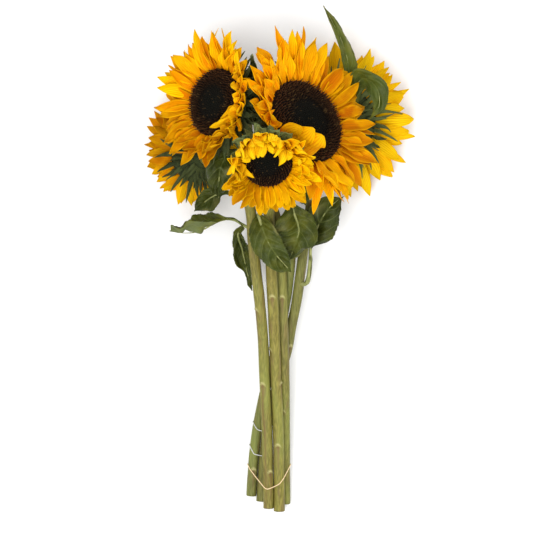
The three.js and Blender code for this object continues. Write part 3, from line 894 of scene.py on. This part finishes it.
petal_front = finish("petal_front", paint_petal(True), roughness=0.7, specular=0.04)
petal_back = finish("petal_back", paint_petal(False), roughness=0.75, specular=0.04)
for letter, head in HEADS.items():
    place, radius = places[letter]
    draw = random.Random(f"petals {letter}")
    crumple = head["crumple"]
    outline = folded_outline if letter == "c" else petal_outline
    bm = bmesh.new()
    bm.loops.layers.uv.new("UVMap")
    bm.verts.layers.float_color.new("look")

    def petal(angle, seat, size, lie, outline):
        """One petal of this head, with its own folds and colour."""
        keel = head["keel"] * draw.uniform(0.3, 1.7)
        ruffle = 0.25 + 0.5 * crumple * draw.random()
        folds = (keel, PLEAT, ruffle, draw.uniform(0, 6))
        vary = 0.45 if outline is petal_outline else 0.1
        lemon = min(1, max(0, head["lemon"] + draw.uniform(-vary, vary)))
        # The petals on the shaded side of the head get painted shade on top of their own random
        # brightness.
        shaded = max(0, math.cos(angle - math.radians(head["shaded_side"])))
        bright = min(1, max(0, draw.uniform(*head["bright"]) - SIDE_SHADE * shaded))
        colour = (bright, lemon, max(0, draw.gauss(-0.3, 0.22) * crumple))
        outside, height = seat
        foot = (angle, radius + outside, height)
        lowest = FLOOR_GAP + LAYER_GAP * draw.randrange(4)
        strap(bm, place, PETAL_GRID, foot, size, lie, outline, folds, colour, lowest)

    for ring, (lift, reach, seat) in enumerate(PETAL_RINGS):
        for k in range(head["petals"]):
            angle = (k + ring / 3 + draw.uniform(-0.3, 0.3)) * math.tau / head["petals"]
            length, lean, curl = stand(head["habit"], angle)
            size = (length * reach * draw.uniform(0.86, 1.08), head["width"] * draw.uniform(0.75, 1.15))
            loose = crumple * (0.5 + 0.7 * max(0, lean))
            lean += lift + draw.gauss(0, 0.06 + 0.14 * loose)
            curl += draw.gauss(0, 0.18 + 0.4 * loose)
            twist = draw.gauss(0, 0.25 + 0.6 * loose)
            sway = draw.gauss(0, 0.07 + 0.16 * loose)
            petal(angle, seat, size, (lean, curl, twist, sway), outline)
    for degrees, length, width, lean, curl, sway in head["folded"]:
        lie = (math.radians(lean), math.radians(curl), draw.uniform(-0.3, 0.3), sway)
        petal(math.radians(degrees), FRONT_SEAT, (length / 1000, width / 1000), lie, folded_outline)
    petals = show(f"ray_petals_{letter}", bm, "petal", [petal_front, petal_back], f"petals_{letter}")
    smoothed(petals, 1)
    thicken(petals, PETAL_THICK, two_sided=True)


# ---- Seed disks ----
# A shallow brown-black dome packed with small tube flowers in crossing spirals. Those in the
# middle are closed green-black buds, and those near the rim are open, taller and red-brown.
FLORET_PITCH = 0.0026
FLORET_PACKING = 3.63
FLORET_MARGIN = 0.0014
GOLDEN_TURN = math.pi * (3 - math.sqrt(5))
# Flowers are open outside this share of the disk's radius, and grow taller towards its rim.
OPEN_FROM = 0.52
BUD_HEIGHT = 0.0012
OPEN_HEIGHT = 0.0021
OPEN_GROWTH = 0.0006
DISK_STEPS = 48
DOME_SHARES = [0, 0.15, 0.3, 0.45, 0.6, 0.75, 0.88, 0.96]
DOME_RISE = 0.1
DIMPLE = 0.0014
# A flower's radius at its foot and at its tip, and those of the fringe that opens above it.
FLOWER = (0.00105, 0.00055)
FRINGE = (0.0003, 0.00065)


def paint_florets(tree):
    outward, upward, tint = looks_of(tree)
    foot = shades(tree, outward, (0.0, (0.005, 0.006, 0.004)), (0.45, (0.006, 0.005, 0.004)),
                  (0.7, (0.008, 0.004, 0.003)), (1.0, (0.012, 0.005, 0.003)))
    tip = shades(tree, outward, (0.0, (0.013, 0.013, 0.008)), (0.42, (0.022, 0.018, 0.007)),
                 (0.6, (0.032, 0.014, 0.005)), (1.0, (0.085, 0.032, 0.01)))
    brown = blend(tree, sums(tree, "POWER", upward, 1.6), foot, tip)
    speck = node(tree, "MapRange", {"Value": tint, 1: 0.85, 2: 0.93})
    speck = sums(tree, "MULTIPLY", sums(tree, "MULTIPLY", speck.outputs[0], upward), 0.5)
    brown = blend(tree, speck, brown, (0.17, 0.1, 0.035, 1))
    return {"Base Color": brown, "Normal": bump(tree, mottled(tree, 2200), 0.0003)}


def floret_cone(bm, stand_up, sides, radii, tall, rise):
    """A small closed cone on a floret's own axis, with its middle that far up."""
    place = stand_up @ Matrix.Translation((0, 0, rise))
    made = bmesh.ops.create_cone(bm, cap_ends=True, segments=sides, radius1=radii[0], radius2=radii[1],
                                 depth=tall, matrix=place)
    return made["verts"]


floret_brown = finish("floret_brown", paint_florets, roughness=0.85, specular=0.1)
for letter in HEADS:
    place, radius = places[letter]
    draw = random.Random(f"florets {letter}")
    bm = bmesh.new()
    layer = bm.verts.layers.float_color.new("look")
    dome = radius * DOME_RISE

    def dome_height(share, dome=dome):
        """The dome's height at a share of its radius, with the dimple in its middle."""
        return dome * (1 - share**2) - DIMPLE * math.exp(-((share / 0.3) ** 2))

    profile = [(share * radius, dome_height(share)) for share in DOME_SHARES]
    profile += [(radius, -0.0015), (radius, -DISK_DEPTH), (0, -DISK_DEPTH)]
    for vert in lathe(bm, place, profile, DISK_STEPS):
        vert[layer] = (min(1, (place.inverted() @ vert.co).xy.length / radius), 0, 0, 1)
    count = round(FLORET_PACKING * (radius / FLORET_PITCH) ** 2)
    for k in range(count):
        share = math.sqrt((k + 0.5) / count)
        turn = k * GOLDEN_TURN
        spot = Vector((math.cos(turn), math.sin(turn), 0)) * share * (radius - FLORET_MARGIN)
        spot.z = dome_height(share)
        tall = BUD_HEIGHT if share < OPEN_FROM else OPEN_HEIGHT + OPEN_GROWTH * share
        tall *= draw.uniform(0.8, 1.25)
        spread = draw.uniform(-0.25, 0.25) + 0.2 * share**3
        lean = Matrix.Rotation(spread, 4, Vector((-math.sin(turn), math.cos(turn), 0)))
        tint = draw.random()
        stand_up = place @ Matrix.Translation(spot) @ lean @ Matrix.Rotation(tint * 6, 4, "Z")
        flower = floret_cone(bm, stand_up, 5, FLOWER, tall, tall / 2)
        fringe = []
        if share > OPEN_FROM:
            fringe = floret_cone(bm, stand_up, 4, FRINGE, tall * 0.5, tall * 1.25)
        top = stand_up @ Vector((0, 0, tall))
        for vert in flower:
            vert[layer] = (share, 1.0 - min(1, (vert.co - top).length / tall), tint, 1)
        for vert in fringe:
            vert[layer] = (share, 1, tint, 1)
    for vert in bm.verts:
        vert.co.z = max(vert.co.z, LOWEST)
    show(f"florets_{letter}", bm, "seed_disk", [floret_brown], f"seed_disk_{letter}")


# ---- Rubber bands ----
# A cream band goes round all the stems near their cut ends, and two thin whitish ones hold the
# two left stems together. Each is a plain ring of rubber stretched tight over the stems.
CREAM = ((0.7, 0.5, 0.27, 1), (0.8, 0.62, 0.38, 1))
WHITISH = ((0.5, 0.5, 0.47, 1), (0.66, 0.66, 0.63, 1))
BANDS = {
    "band_lower": ("band_cream", CREAM),
    "band_middle": ("band_white", WHITISH),
    "band_upper": ("band_white", WHITISH),
}


def paint_band(dark, light):
    """Wires plain rubber that is dusty with a darker and a lighter tone."""

    def wire(tree):
        dust = mottled(tree, 700)
        return {"Base Color": blend(tree, dust, dark, light), "Normal": bump(tree, dust, 0.0001)}

    return wire


for name, (slot, tones) in BANDS.items():
    bm = bmesh.new()
    bm.from_mesh(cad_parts[name].data)
    bmesh.ops.remove_doubles(bm, verts=bm.verts, dist=WELD)
    rubber = finish(f"{name}_rubber", paint_band(*tones), roughness=0.55)
    ring = show(f"rubber_{name}", bm, slot, [rubber], name)
    smoothed(ring, 2)
